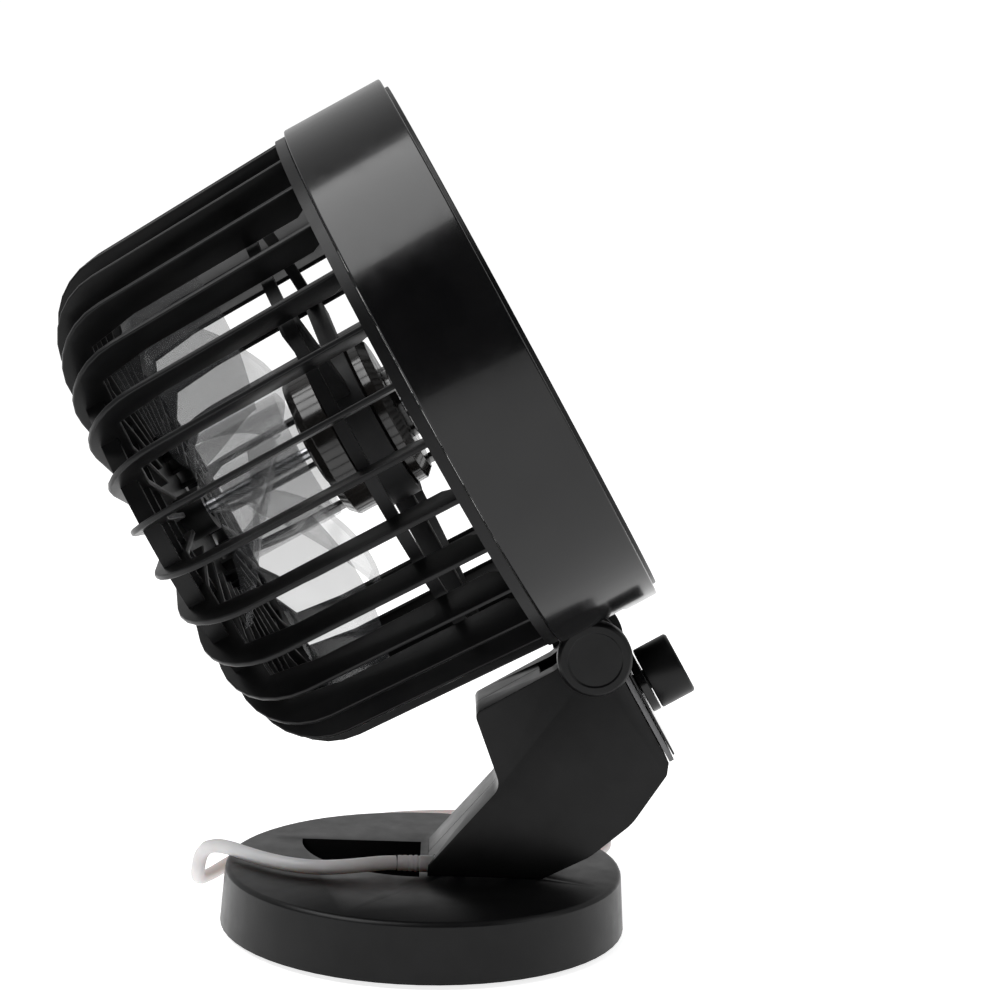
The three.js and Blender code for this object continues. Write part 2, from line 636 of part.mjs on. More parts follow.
// two layers of turns, wound in to the middle and out again
const coil = { x: 73, y: -28, inner: 13, outer: 26.6, z0: 0.2, z1: 7.7 };
const routeOut = [
  [EXIT_X, bootL - glandBack + 0.4, glandZ], [-9.9, 9.5, glandZ], [-11.6, 13.8, glandZ],
  [-13.9, 19, glandZ], [-15.3, 25.4, glandZ], [-13.9, 32.2, glandZ], [-10.2, 38.5, glandZ],
  [-5.2, 44.3, glandZ], [-0.1, 49.5, glandZ], [4.2, 53.8, 16.9], [9.3, 56.9, 13.8],
  [15, 58.7, 7.6], [20.9, 59.1, 3.7], [28.5, 57.6, tableZ], [42, 52.7, tableZ],
  [56, 47, tableZ], [69.5, 39.5, tableZ], [81, 29, tableZ], [90, 15.5, tableZ],
  [95.6, 1, tableZ], [97.2, -11, tableZ],
];

function tube(points, steps) {
  const curve = new THREE.CatmullRomCurve3(points.map((p) => new THREE.Vector3(...p)), false, 'centripetal');
  const ring = new THREE.Shape();
  for (let i = 0; i < 8; i += 1) {
    const a = (i + 0.5) * Math.PI / 4;
    if (i === 0) ring.moveTo(cordR * Math.cos(a), cordR * Math.sin(a));
    else ring.lineTo(cordR * Math.cos(a), cordR * Math.sin(a));
  }
  ring.closePath();
  return solid(new THREE.ExtrudeGeometry(ring, { steps, bevelEnabled: false, extrudePath: curve }));
}
add('cord_gland', gland(), 0xcfc9c8, 0.55);
add('supply_cord', tube(routeOut, 34), 0xdcd7d6, 0.5);

const ringCoil = ringOf(coil.inner, coil.outer, coil.z0, coil.z1, 32).translate([coil.x, coil.y, 0]);
add('cord_coil', ringCoil, 0xdcd7d6, 0.5);

// --- plug, lying flat behind the base with its metal end towards +Y ---
const plug = { x: 62, y: 5, z: 4.3 };
const routeIn = [[61.6, -0.6, 4.7], [61.9, 2.1, 4.4], [plug.x, plug.y - GAP - 0.1, plug.z]];
add('cord_tail', tube(routeIn, 3), 0xdcd7d6, 0.5);

function plugBody() {
  const shape = rounded([[-6, -4, 1.4], [6, -4, 1.4], [6, 4, 1.4], [-6, 4, 1.4]]);
  const geo = new THREE.ExtrudeGeometry(shape, { depth: 19, bevelEnabled: false, curveSegments: 3 });
  geo.rotateX(-Math.PI / 2);
  geo.translate(plug.x, plug.y, plug.z);
  return solid(geo);
}
add('usb_plug_body', plugBody(), 0xd8d3d2, 0.45);

function plugShell() {
  const y0 = plug.y + 19 + GAP;
  const y1 = y0 + 12;
  const outer = box(plug.x - 6, plug.x + 6, y0, y1, plug.z - 2.25, plug.z + 2.25);
  const inner = box(plug.x - 5.7, plug.x + 5.7, y0 + 1, y1 + 1, plug.z - 1.95, plug.z + 1.95);
  const tongue = box(plug.x - 5.2, plug.x + 5.2, y0 + 0.5, y1 - 0.6, plug.z - 1.2, plug.z + 0.6);
  return outer.subtract(inner).add(tongue);
}
add('usb_plug_shell', plugShell(), STEEL, 0.3, 0.9);

export default parts;
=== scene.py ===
# %% [markdown]
# # A small twin-rotor desk fan
# A round head with a finned cage tilts on a short arm, and the arm stands on a heavy
# round base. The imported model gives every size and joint. This lesson dresses it:
# camera and lead first, then the finishes, then each moulding in turn.

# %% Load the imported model
import json
import math

import bmesh
import bpy
from mathutils import Matrix, Vector


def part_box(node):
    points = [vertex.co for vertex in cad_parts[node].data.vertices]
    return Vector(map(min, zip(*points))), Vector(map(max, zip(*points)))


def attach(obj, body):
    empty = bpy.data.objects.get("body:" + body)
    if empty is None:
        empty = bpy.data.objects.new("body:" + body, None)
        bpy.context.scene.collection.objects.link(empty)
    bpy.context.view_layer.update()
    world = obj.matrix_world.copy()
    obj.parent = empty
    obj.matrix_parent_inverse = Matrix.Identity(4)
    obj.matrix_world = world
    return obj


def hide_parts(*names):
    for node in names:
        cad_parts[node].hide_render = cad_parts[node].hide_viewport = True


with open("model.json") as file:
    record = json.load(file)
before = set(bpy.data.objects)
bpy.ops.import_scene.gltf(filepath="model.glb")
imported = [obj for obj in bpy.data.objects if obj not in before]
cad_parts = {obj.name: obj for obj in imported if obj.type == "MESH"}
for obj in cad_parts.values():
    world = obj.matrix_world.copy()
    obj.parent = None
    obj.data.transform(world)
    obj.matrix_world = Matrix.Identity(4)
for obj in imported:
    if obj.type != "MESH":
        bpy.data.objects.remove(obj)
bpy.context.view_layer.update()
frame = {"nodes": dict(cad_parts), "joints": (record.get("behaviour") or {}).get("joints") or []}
MM = 0.001

# %% [markdown]
# ## Camera
# A side view from a little above. A long lens half a metre away keeps the round head
# from stretching, and the small roll is the way the fan stands in the view.

# %% Place the camera
camera_lens = bpy.data.cameras.new("side_camera")
camera_lens.sensor_width = 36
camera_lens.lens = 77.63
camera = bpy.data.objects.new("side_camera", camera_lens)
camera.location = (-0.5330, -0.00233, 0.16879)
camera.rotation_euler = [math.radians(angle) for angle in (83.534, -2.028, -91.242)]
bpy.context.scene.collection.objects.link(camera)
bpy.context.scene.camera = camera
print("camera lens", camera_lens.lens, "mm")

# %% [markdown]
# ## The lead
# A thin pale USB lead leaves a boot at the foot of the arm, lies over the base, drops
# over its far edge and is wound in a flat coil beside the base, with its plug on top of
# the table. A curve with round bevel is the natural way to draw a wire: the points of
# the loose stretch are listed, and the turns of the coil come from a loop. The
# curve is then turned into a mesh, since a curve reports a box that is far too large.

# %% Route of the lead, in millimetres
LEAD_D = 3.6
OVER_BASE = 17.8
ON_TABLE = LEAD_D / 2 + 0.2
loose_stretch = [
    (-9.5, 6.9, OVER_BASE), (-9.9, 9.5, OVER_BASE), (-11.6, 13.8, OVER_BASE),
    (-13.9, 19, OVER_BASE), (-15.3, 25.4, OVER_BASE), (-13.9, 32.2, OVER_BASE),
    (-10.2, 38.5, OVER_BASE), (-5.2, 44.3, OVER_BASE), (-0.1, 49.5, OVER_BASE),
    (4.2, 53.8, 16.9), (9.3, 56.9, 13.8), (15, 58.7, 7.6), (20.9, 59.1, 3.7),
    (28.5, 57.6, ON_TABLE), (42, 52.7, ON_TABLE), (56, 47, ON_TABLE),
    (69.5, 39.5, ON_TABLE), (81, 29, ON_TABLE), (90, 15.5, ON_TABLE),
    (95.6, 1, ON_TABLE), (97.2, -11, ON_TABLE),
]
to_the_plug = [(61.6, -0.6, 4.7), (61.9, 2.1, 4.4), (62, 4.6, 4.3)]


def coil_turns(centre=(73, -28), outer=24.6, inner=15.0, layer=2.6625, climb=0.3, per_turn=16):
    """Two flat layers: wound in to the middle, up one wire, and out again."""
    turns = 2 * layer + climb
    count = round(turns * per_turn)
    points = []
    for step in range(count + 1):
        done = turns * step / count
        inward = min(done / layer, 1)
        outward = max((done - layer - climb) / layer, 0)
        radius = outer + (inner - outer) * (inward - outward)
        lifted = min(max((done - layer) / climb, 0), 1)
        angle = -math.tau * done
        across = centre[0] + radius * math.cos(angle)
        along = centre[1] + radius * math.sin(angle)
        points.append((across, along, ON_TABLE + LEAD_D * lifted))
    return points


route = [Vector(p) * MM for p in loose_stretch + coil_turns() + to_the_plug]
print("route points:", len(route))

# %% Draw the lead as one smooth curve, and turn it into a mesh tube
lead_curve = bpy.data.curves.new("lead_guide", "CURVE")
lead_curve.dimensions = "3D"
lead_curve.bevel_resolution = 3
lead_curve.resolution_u = 4
lead_curve.use_fill_caps = True
spline = lead_curve.splines.new("BEZIER")
spline.bezier_points.add(len(route) - 1)
for knot, place in zip(spline.bezier_points, route):
    knot.co = place
    knot.handle_left_type = knot.handle_right_type = "AUTO"
lead_length = spline.calc_length()
guide = bpy.data.objects.new("lead_guide", lead_curve)
bpy.context.scene.collection.objects.link(guide)


def guide_mesh(bevel):
    """The guide curve as a mesh: a bare line without bevel, a tube with it."""
    lead_curve.bevel_depth = bevel
    bpy.context.view_layer.update()
    return bpy.data.meshes.new_from_object(guide.evaluated_get(bpy.context.evaluated_depsgraph_get()))


centreline = [vert.co.copy() for vert in guide_mesh(0).vertices]
lead_mesh = guide_mesh(LEAD_D / 2 * MM)
lead_mesh.shade_smooth()
bpy.data.objects.remove(guide)
usb_lead = bpy.data.objects.new("usb_lead", lead_mesh)
bpy.context.scene.collection.objects.link(usb_lead)
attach(usb_lead, "stand")
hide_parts("supply_cord", "cord_coil", "cord_tail")
print("lead length", round(lead_length, 4), "m,", len(centreline), "points along it")

# %% [markdown]
# ## Floor and light
# Black plastic is lit by what it mirrors, so the room matters more than the lamps. The
# room is white behind the fan and falls off to dark where the view comes from, one
# wide soft box hangs above the cage, and a weak one fills from the front.

# %% Lay the floor
bm = bmesh.new()
bmesh.ops.create_grid(bm, x_segments=1, y_segments=1, size=6)
floor_mesh = bpy.data.meshes.new("floor")
bm.to_mesh(floor_mesh)
bm.free()
floor = bpy.data.objects.new("floor", floor_mesh)
floor.location.z = -0.0004
bpy.context.scene.collection.objects.link(floor)
print("floor", tuple(floor.dimensions))

# %% Light the room
world = bpy.data.worlds.new("studio")
bpy.context.scene.world = world
world.use_nodes = True
bpy.context.scene.view_settings.view_transform = "Standard"


def shade_room(tree, seen=1.05, behind=0.58, ahead=0.012):
    """A white room to look at, whose light fades from the far side (+X) to the near side."""
    nodes, links = tree.nodes, tree.links
    background = nodes["Background"]
    background.inputs["Color"].default_value = (1, 1, 1, 1)
    place = nodes.new("ShaderNodeTexCoord")
    split = nodes.new("ShaderNodeSeparateXYZ")
    fade = nodes.new("ShaderNodeMapRange")
    fade.interpolation_type = "SMOOTHSTEP"
    fade.inputs["From Min"].default_value = -0.75
    fade.inputs["From Max"].default_value = 0.75
    fade.inputs["To Min"].default_value = ahead
    fade.inputs["To Max"].default_value = behind
    path = nodes.new("ShaderNodeLightPath")
    choose = nodes.new("ShaderNodeMix")
    choose.inputs["B"].default_value = seen
    links.new(place.outputs["Generated"], split.inputs[0])
    links.new(split.outputs["X"], fade.inputs["Value"])
    links.new(fade.outputs[0], choose.inputs["A"])
    links.new(path.outputs["Is Camera Ray"], choose.inputs["Factor"])
    links.new(choose.outputs["Result"], background.inputs["Strength"])


def soft_box(name, direction, distance, width, height, power):
    """An area lamp that hangs in a direction from the fan's middle and faces it."""
    lamp = bpy.data.lights.new(name, "AREA")
    lamp.shape = "RECTANGLE"
    lamp.size, lamp.size_y, lamp.energy = width, height, power
    holder = bpy.data.objects.new(name, lamp)
    away = Vector(direction).normalized()
    holder.location = Vector((0, 0, 0.1)) + away * distance
    holder.rotation_euler = away.to_track_quat("Z", "Y").to_euler()
    bpy.context.scene.collection.objects.link(holder)
    print(name, power, "W")


shade_room(world.node_tree)
soft_box("top_box", (-0.25, 0.5, 0.8), 1.3, 0.95, 0.8, 12)
soft_box("front_box", (-0.35, -1.0, 0.45), 1.4, 0.5, 0.9, 2.5)

# %% [markdown]
# ## Finishes
# The fan is nearly all injection-moulded plastic, in a satin and a polished grade, with
# rubber, steel, a painted trim strip and smoked clear blades. One recipe covers them: a
# base colour that drifts a little, roughness that varies the same way, and a fine bump
# from the mould or the tool. Only the numbers and the kind of bump change.

# %% Recipe for a finish
FINISHES = {}


def noise_on(tree, scale, detail=3.0, stretch=(1, 1, 1)):
    """A noise pattern fixed to the piece, in metres, drawn out along an axis if asked."""
    place = tree.nodes.new("ShaderNodeTexCoord")
    mapping = tree.nodes.new("ShaderNodeMapping")
    mapping.inputs["Scale"].default_value = stretch
    noise = tree.nodes.new("ShaderNodeTexNoise")
    noise.inputs["Scale"].default_value = scale
    noise.inputs["Detail"].default_value = detail
    tree.links.new(place.outputs["Object"], mapping.inputs["Vector"])
    tree.links.new(mapping.outputs["Vector"], noise.inputs["Vector"])
    return noise.outputs["Fac"]


def spread(tree, value, low, high):
    """Turns a 0 to 1 pattern into a number between low and high."""
    ranged = tree.nodes.new("ShaderNodeMapRange")
    ranged.inputs["From Min"].default_value = 0.3
    ranged.inputs["From Max"].default_value = 0.7
    ranged.inputs["To Min"].default_value = low
    ranged.inputs["To Max"].default_value = high
    tree.links.new(value, ranged.inputs["Value"])
    return ranged.outputs["Result"]


def drift(tree, value, dark, light):
    """Runs the base colour between two close tones."""
    ramp = tree.nodes.new("ShaderNodeValToRGB")
    ramp.color_ramp.elements[0].position = 0.35
    ramp.color_ramp.elements[1].position = 0.65
    ramp.color_ramp.elements[0].color = (*dark, 1)
    ramp.color_ramp.elements[1].color = (*light, 1)
    tree.links.new(value, ramp.inputs["Fac"])
    return ramp.outputs["Color"]


def finish(slot, dark, light, rough, grain, depth, stretch=(1, 1, 1), patch=60, **constants):
    """A procedural finish. rough is (low, high), grain the bump's scale, depth its height in mm."""
    material = bpy.data.materials.new(slot)
    material.use_nodes = True
    tree = material.node_tree
    shader = tree.nodes["Principled BSDF"]
    for socket, number in constants.items():
        shader.inputs[socket.replace("_", " ")].default_value = number
    tree.links.new(drift(tree, noise_on(tree, patch, 4), dark, light), shader.inputs["Base Color"])
    patches = noise_on(tree, patch * 3.1, 5, stretch)
    tree.links.new(spread(tree, patches, *rough), shader.inputs["Roughness"])
    bump = tree.nodes.new("ShaderNodeBump")
    bump.inputs["Distance"].default_value = depth * MM
    bump.inputs["Strength"].default_value = 0.6
    tree.links.new(noise_on(tree, grain, 2, stretch), bump.inputs["Height"])
    tree.links.new(bump.outputs["Normal"], shader.inputs["Normal"])
    FINISHES[slot] = material


# %% Plastics and rubber
finish("satin_black", (0.0045, 0.0045, 0.0048), (0.0075, 0.0075, 0.0078), (0.3, 0.38), 2600, 0.02,
       Specular_IOR_Level=0.2)
finish("gloss_black", (0.003, 0.003, 0.0033), (0.005, 0.005, 0.0053), (0.13, 0.19), 500, 0.012,
       Specular_IOR_Level=0.3, Coat_Weight=0.12, Coat_Roughness=0.06)
finish("inner_black", (0.006, 0.006, 0.0064), (0.010, 0.010, 0.0105), (0.4, 0.52), 1800, 0.03,
       Specular_IOR_Level=0.2)
finish("pad_rubber", (0.018, 0.018, 0.018), (0.03, 0.03, 0.031), (0.8, 0.95), 1500, 0.12)
finish("board_green", (0.012, 0.09, 0.035), (0.02, 0.13, 0.05), (0.3, 0.45), 900, 0.03)
finish("motor_black", (0.008, 0.0075, 0.007), (0.016, 0.014, 0.013), (0.1, 0.2), 400, 0.02,
       Specular_IOR_Level=0.4, Coat_Weight=0.25, Coat_Roughness=0.08)
finish("cord_grey", (0.60, 0.57, 0.575), (0.71, 0.68, 0.685), (0.38, 0.5), 1300, 0.03,
       Subsurface_Weight=0.12)

# %% Metals
finish("ballast_steel", (0.22, 0.22, 0.23), (0.34, 0.34, 0.35), (0.45, 0.65), 700, 0.08, Metallic=1)
finish("screw_steel", (0.5, 0.51, 0.53), (0.62, 0.63, 0.65), (0.22, 0.34), 900, 0.02,
       stretch=(1, 1, 6), Metallic=1)
finish("trim_grey", (0.11, 0.11, 0.112), (0.14, 0.14, 0.143), (0.3, 0.4), 1400, 0.015, Metallic=0.7)
finish("switch_metal", (0.38, 0.38, 0.39), (0.46, 0.46, 0.47), (0.3, 0.42), 1100, 0.02,
       stretch=(5, 1, 1), Metallic=1)
finish("bush_brass", (0.5, 0.34, 0.14), (0.62, 0.44, 0.2), (0.35, 0.5), 1500, 0.04, Metallic=1)

# %% Smoked clear plastic
finish("smoke_clear", (0.07, 0.072, 0.076), (0.09, 0.092, 0.096), (0.1, 0.16), 300, 0.02,
       Alpha=0.3, IOR=1.49)
print("finishes:", ", ".join(sorted(FINISHES)))

# %% [markdown]
# The floor takes a finish too: pale paper with a faint tooth. It glows a little, so that it
# meets the white room without a step.

# %% Finish the floor
finish("paper", (0.9, 0.9, 0.9), (0.93, 0.93, 0.93), (0.5, 0.6), 40, 0.1, patch=1.5,
       Emission_Color=(1, 1, 1, 1), Emission_Strength=0.8)
floor.data.materials.append(FINISHES["paper"])

# %% [markdown]
# ## The head's own frame
# The cage is drawn upright on its own axis and then tipped into place, because a turned
# shape is easiest to spin about Z. Place and tilt come from the fan's spin joint. Sizes
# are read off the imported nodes, measured along that axis in millimetres.

# %% Frame of the head
joints = {joint["name"]: joint for joint in frame["joints"]}
spin_joint = joints["front_spin"]
fan_axis = Vector(spin_joint["axis"])
tip_over = Vector((0, 0, 1)).rotation_difference(fan_axis).to_matrix().to_4x4()
HEAD = Matrix.Translation(spin_joint["pos_m"]) @ tip_over
UPRIGHT = Matrix.Identity(4)


def reach(node, place=HEAD):
    """Lowest and highest place along the axis of a frame, and the outer radius, in mm."""
    inward = place.inverted()
    corners = [inward @ vert.co / MM for vert in frame["nodes"][node].data.vertices]
    heights = [corner.z for corner in corners]
    return min(heights), max(heights), max(math.hypot(corner.x, corner.y) for corner in corners)


print("band:", [round(size, 2) for size in reach("head_band")])


# %% Helpers that end a piece
def clean_up(bm):
    """Merges doubles and turns every face outwards."""
    bmesh.ops.remove_doubles(bm, verts=bm.verts, dist=0.002)
    bmesh.ops.recalc_face_normals(bm, faces=bm.faces)


def keep(bm, name, body, slot, *nodes, place=HEAD, edge=0.0, smooth=38, wall=0.0):
    """Makes a finished piece of a mesh in millimetres: placed, smoothed, coloured and declared."""
    clean_up(bm)
    bmesh.ops.transform(bm, matrix=place @ Matrix.Scale(MM, 4), verts=bm.verts)
    mesh = bpy.data.meshes.new(name)
    bm.to_mesh(mesh)
    bm.free()
    mesh.shade_smooth()
    mesh.set_sharp_from_angle(angle=math.radians(smooth))
    mesh.materials.append(FINISHES[slot])
    piece = bpy.data.objects.new(name, mesh)
    bpy.context.scene.collection.objects.link(piece)
    if wall:
        shell = piece.modifiers.new("wall", "SOLIDIFY")
        shell.thickness, shell.offset = wall * MM, -1
    if edge:
        soften = piece.modifiers.new("edges", "BEVEL")
        soften.width, soften.segments = edge * MM, 2
        soften.limit_method, soften.angle_limit = "ANGLE", math.radians(smooth)
        soften.harden_normals = True
    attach(piece, body)
    if nodes:
        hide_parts(*nodes)
    print(f"{name}: {len(mesh.polygons)} faces")
    return piece


def turn(bm, profile, steps=96, closed=True):
    """Spins a profile of (radius, height) points about Z."""
    verts = [bm.verts.new((radius, 0, height)) for radius, height in profile]
    pairs = list(zip(verts, verts[1:]))
    if closed:
        pairs.append((verts[-1], verts[0]))
    edges = [bm.edges.new(pair) for pair in pairs]
    bmesh.ops.spin(bm, geom=verts + edges, axis=(0, 0, 1), cent=(0, 0, 0), dvec=(0, 0, 0),
                   angle=math.tau, steps=steps, use_merge=True)


def ring(bm, inner, outer, low, high, steps=96):
    """A square-section hoop."""
    turn(bm, [(inner, low), (outer, low), (outer, high), (inner, high)], steps)


def slab(bm, outline, thickness, corners=()):
    """Fills an outline of (x, z) points, rounds some corners and thickens it evenly about y = 0."""
    verts = [bm.verts.new((x, -thickness / 2, z)) for x, z in outline]
    bm.faces.new(verts)
    for index, radius in corners:
        bmesh.ops.bevel(bm, geom=[verts[index]], offset=radius, affect="VERTICES", segments=7,
                        profile=0.5, material=-1)
    face = [f for f in bm.faces if abs(f.calc_center_median().y + thickness / 2) < 1e-4][-1]
    pushed = bmesh.ops.extrude_face_region(bm, geom=[face], use_keep_orig=True)["geom"]
    moved = [item for item in pushed if isinstance(item, bmesh.types.BMVert)]
    bmesh.ops.translate(bm, vec=(0, thickness, 0), verts=moved)


def around(bm, geometry, copies, first=0.0):
    """Repeats what is drawn at angle 0 all round the axis, starting at an angle in degrees."""
    bmesh.ops.rotate(bm, verts=[g for g in geometry if isinstance(g, bmesh.types.BMVert)],
                     cent=(0, 0, 0), matrix=Matrix.Rotation(math.radians(first), 3, "Z"))
    bmesh.ops.spin(bm, geom=geometry, axis=(0, 0, 1), cent=(0, 0, 0), dvec=(0, 0, 0),
                   angle=math.tau * (copies - 1) / copies, steps=copies - 1, use_duplicate=True)


# %% [markdown]
# ## Head band
# The polished hoop that joins cage and front. It is one skin turned about the axis, cut
# away at the bottom for the pivot, then given its wall. Cutting the thin skin before it
# has a wall leaves the notch with clean square ends.

# %% Turn the band and cut its notch
band_back, band_front, band_r = reach("head_band")
BAND_WALL = 2.2
NOTCH_HALF, NOTCH_TOP = 20.5, -9
bm = bmesh.new()
turn(bm, [(band_r, band_back), (band_r, band_front)], steps=160, closed=False)
clean_up(bm)
cuts = [((-NOTCH_HALF, 0, 0), (1, 0, 0)), ((NOTCH_HALF, 0, 0), (1, 0, 0)), ((0, 0, NOTCH_TOP), (0, 0, 1))]
for through, facing in cuts:
    everything = bm.verts[:] + bm.edges[:] + bm.faces[:]
    bmesh.ops.bisect_plane(bm, geom=everything, dist=0.001, plane_co=through, plane_no=facing)
middles = [(face, face.calc_center_median()) for face in bm.faces]
notch = [face for face, at in middles if abs(at.x) < NOTCH_HALF and at.y < 0 and at.z < NOTCH_TOP]
bmesh.ops.delete(bm, geom=notch, context="FACES")
keep(bm, "head_band_shell", "head", "gloss_black", "head_band", wall=BAND_WALL, edge=0.45)

# %% [markdown]
# ## Front guard
# A rim that stands a hair proud of the band, thin radial bars with one middle hoop, and a
# round cap. Turned parts are spun, and one bar is drawn and repeated round the axis.

# %% Make the front guard
guard_back, guard_front, guard_r = reach("front_guard")
RIBS, FIRST_RIB = 30, 6
bm = bmesh.new()
bar = bmesh.ops.create_cube(bm, size=1)["verts"]
bmesh.ops.scale(bm, vec=(guard_r - 15, 1.4, 2.6), verts=bar)
bmesh.ops.translate(bm, vec=((guard_r + 13) / 2, 0, guard_front - 2.1), verts=bar)
long_edges = [e for e in bm.edges if abs(e.verts[0].co.x - e.verts[1].co.x) > 5]
bmesh.ops.bevel(bm, geom=long_edges, offset=0.4, affect="EDGES", segments=2, profile=0.5, material=-1)
around(bm, bm.verts[:] + bm.edges[:] + bm.faces[:], RIBS, FIRST_RIB)
ring(bm, guard_r - 2.6, guard_r, guard_back, guard_front, 120)
ring(bm, 40, 41.6, guard_front - 3, guard_front - 0.6)
turn(bm, [(0, guard_front - 3.6), (15, guard_front - 3.6), (15, guard_front - 0.8),
          (12, guard_front - 0.1), (0, guard_front)], 60, closed=False)
keep(bm, "front_guard_grid", "head", "satin_black", "front_guard", edge=0.25)

# %% [markdown]
# ## Rear cage
# Thirty deep fins run back along the side, round the corner and in to a flat disc. One fin
# is a flat outline whose outer rear corner is rounded. It is thickened, its edges are
# softened so that they catch a line of light, and it is then repeated. Three thin hoops
# tie the fins together behind, and a collar on the disc holds the rear bearing.

# %% Draw one fin and repeat it
cage_back, cage_front, cage_r = reach("rear_grille")
FIN_T, FIN_DEPTH = 1.4, 8.0
REAR_R = cage_r - 1.6
DISC_R, CORNER_R, FIN_EDGE = 26, 17.5, 0.42
TIE_HOOPS, TIE_T = (34, 43, 52), 1.4
fin_outline = [
    (DISC_R - 4, cage_back), (REAR_R - 2.1, cage_back), (cage_r - 0.35, cage_front - 1),
    (cage_r - 5.6, cage_front - 1), (cage_r - 8.2, cage_front - 5), (REAR_R - FIN_DEPTH, cage_back + 23),
    (REAR_R - 10.5, cage_back + 10.5), (REAR_R - 24, cage_back + 8.2), (DISC_R - 4, cage_back + 8),
]
bm = bmesh.new()
slab(bm, fin_outline, FIN_T, corners=[(1, CORNER_R)])
clean_up(bm)
outer = [e for e in bm.edges if e.calc_face_angle(0) > 1.2 and abs(e.verts[0].co.y - e.verts[1].co.y) < 0.1]
bmesh.ops.bevel(bm, geom=outer, offset=FIN_EDGE, affect="EDGES", segments=3, profile=0.5, material=-1)
around(bm, bm.verts[:] + bm.edges[:] + bm.faces[:], RIBS, FIRST_RIB)
ring(bm, cage_r - 4.2, cage_r, cage_front - 2.6, cage_front, 120)
turn(bm, [(0, cage_back + 1), (DISC_R - 0.8, cage_back + 1), (DISC_R, cage_back + 1.8),
          (DISC_R, cage_back + 3.6), (0, cage_back + 3.6)], 72, closed=False)
for tie_r in TIE_HOOPS:
    ring(bm, tie_r - TIE_T / 2, tie_r + TIE_T / 2, cage_back + 3, cage_back + 7.2)
ring(bm, 2.9, 6, cage_back + 3.5, cage_back + 10.5, 32)
keep(bm, "rear_cage", "head", "satin_black", "rear_grille")

# %% [markdown]
# ## Impellers
# Each rotor is a cup that drops over its motor, with five broad blades. A blade starts as
# a small grid. Along it the pitch eases from steep to flat and the chord grows, and
# across it runs a shallow camber. The grid gets its wall, and is repeated five times.
# The two rotors turn opposite ways, so one blade is the mirror of the other.

# %% Shape one blade
HUB_R, BLADES, BLADE_T = 17, 5, 1.5


def blend(low, high, share):
    return low + (high - low) * share


def add_blade(bm, tip_r, low, high, way):
    """One twisted, cambered blade between two heights, as a thin closed sheet."""
    sheet = bmesh.ops.create_grid(bm, x_segments=12, y_segments=10, size=0.5)["verts"]
    for vert in sheet:
        out, across = vert.co.x + 0.5, vert.co.y
        radius = blend(HUB_R - 1.2, tip_r, out)
        pitch = math.radians(blend(52, 30, out))
        chord = blend(22, 47, math.sin(out * math.pi / 2)) * (1 - 0.09 * out ** 6)
        camber = 7.7 * (0.25 - across * across) - BLADE_T / 2
        sideways = across * chord * math.cos(pitch) - camber * math.sin(pitch)
        upward = across * chord * math.sin(pitch) + camber * math.cos(pitch)
        angle = way * (sideways / radius + 0.1 * out)
        height = min(max((low + high) / 2 + upward - 1.2, low), high)
        vert.co = (radius * math.cos(angle), radius * math.sin(angle), height)
    faces = [face for face in bm.faces if face.verts[0] in set(sheet)]
    bmesh.ops.solidify(bm, geom=faces, thickness=BLADE_T * (-way))


# %% Build both rotors
def impeller(name, node, body, way, opens_back, first):
    low, high, tip_r = reach(node)
    bm = bmesh.new()
    add_blade(bm, tip_r, low + 0.6, high - 0.6, way)
    around(bm, bm.verts[:] + bm.edges[:] + bm.faces[:], BLADES, first)
    bore, post, wall, chamfer = 1.8, 4, 2.2, 1.5
    cup = [(bore, 0), (HUB_R - chamfer, 0), (HUB_R, chamfer), (HUB_R, high - low), (HUB_R - wall, high - low),
           (HUB_R - wall, 2), (post, 2), (post, high - low - 2), (bore, high - low - 2)]
    flip = (lambda z: high - z) if opens_back else (lambda z: low + z)
    turn(bm, [(radius, flip(z)) for radius, z in cup], 64)
    keep(bm, name, body, "smoke_clear", node)


impeller("front_blades", "front_impeller", "front_rotor", 1, True, 20)
impeller("rear_blades", "rear_impeller", "rear_rotor", -1, False, 50)

# %% [markdown]
# ## Motors and their frame
# Two glossy cans stand back to back on a thin web, held by three arms from a hoop inside
# the cage. The cans are turned from a profile with a rolled lip and a seam groove.

# %% Turn the motor cans
def motor(name, node, faces_front):
    low, high, can_r = reach(node)
    nose, groove = 1.4, 0.5
    length = high - low - nose
    profile = [(1.9, 0), (can_r - 0.8, 0), (can_r, 0.8), (can_r, 3), (can_r - groove, 3.3),
               (can_r - groove, 3.9), (can_r, 4.2), (can_r, length - 2), (can_r - 2, length), (9, length),
               (9, length + nose), (1.9, length + nose)]
    flip = (lambda z: low + z) if faces_front else (lambda z: high - z)
    bm = bmesh.new()
    turn(bm, [(radius, flip(z)) for radius, z in profile], 96)
    keep(bm, name, "head", "motor_black", node, edge=0.2)


motor("front_motor_can", "front_motor", True)
motor("rear_motor_can", "rear_motor", False)

# %% Build the frame between the rotors
INSIDE_FINS, HOOP_WALL, HOOP_HALF, ARM_SIDE = 9.4, 2, 1.5, 5
cup_low, cup_high, _ = reach("motor_frame")
hoop_r = cage_r - INSIDE_FINS
can_r = reach("front_motor")[2]
middle = (cup_low + cup_high) / 2
bm = bmesh.new()
arm = bmesh.ops.create_cube(bm, size=1)["verts"]
bmesh.ops.scale(bm, vec=(hoop_r - can_r - 1.6, ARM_SIDE, ARM_SIDE), verts=arm)
bmesh.ops.translate(bm, vec=((hoop_r + can_r) / 2 - 0.2, 0, middle), verts=arm)
bmesh.ops.bevel(bm, geom=bm.edges[:], offset=0.7, affect="EDGES", segments=2, profile=0.5, material=-1)
around(bm, bm.verts[:] + bm.edges[:] + bm.faces[:], 3, 30)
ring(bm, hoop_r - HOOP_WALL, hoop_r, middle - HOOP_HALF, middle + HOOP_HALF, 120)
